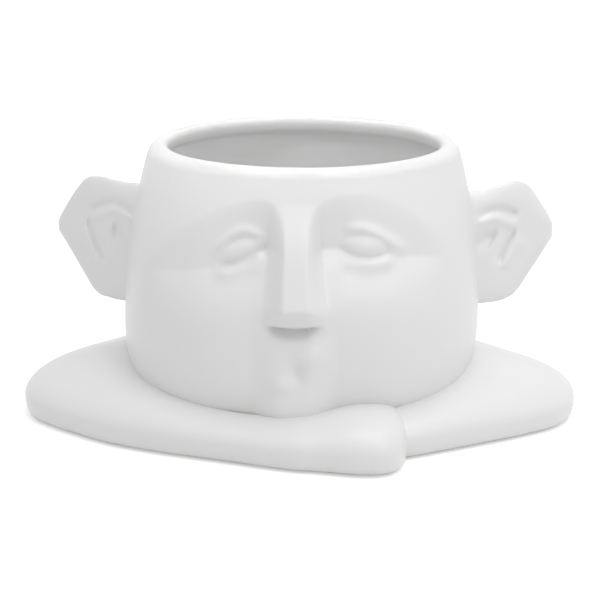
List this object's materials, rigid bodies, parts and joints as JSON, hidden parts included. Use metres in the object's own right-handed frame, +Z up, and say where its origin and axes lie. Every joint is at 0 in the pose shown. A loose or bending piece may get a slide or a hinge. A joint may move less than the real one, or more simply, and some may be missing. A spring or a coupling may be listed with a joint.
{
  "type": "head planter",
  "caption": "Glazed ceramic plant pot shaped as a bald head resting on its folded arms, open at the crown, with a drain stopper below.",
  "frame": {"origin": "centre of the bounding box's bottom, on the surface that the feet stand on", "axes": "+Z up, -Y towards the viewer of the face, +X to that viewer's right"},
  "size_m": [0.2422, 0.1973, 0.1185],
  "materials": {
    "glaze": "satin white glaze, bare clay under the foot",
    "silicone": "translucent white silicone, matte"
  },
  "bodies": {
    "planter": {"head_bowl": "glaze", "left_arm": "glaze", "right_arm": "glaze", "left_ear": "glaze", "right_ear": "glaze", "foot_pad_front_left": "silicone", "foot_pad_front_right": "silicone", "foot_pad_back_left": "silicone", "foot_pad_back_right": "silicone"},
    "stopper": {"drain_plug": "silicone"}
  },
  "joints": [
    {"name": "plug_pull", "type": "slide", "parent": "planter", "child": "stopper", "axis": [0, 0, -1], "range_m": [0, 0.03]}
  ]
}
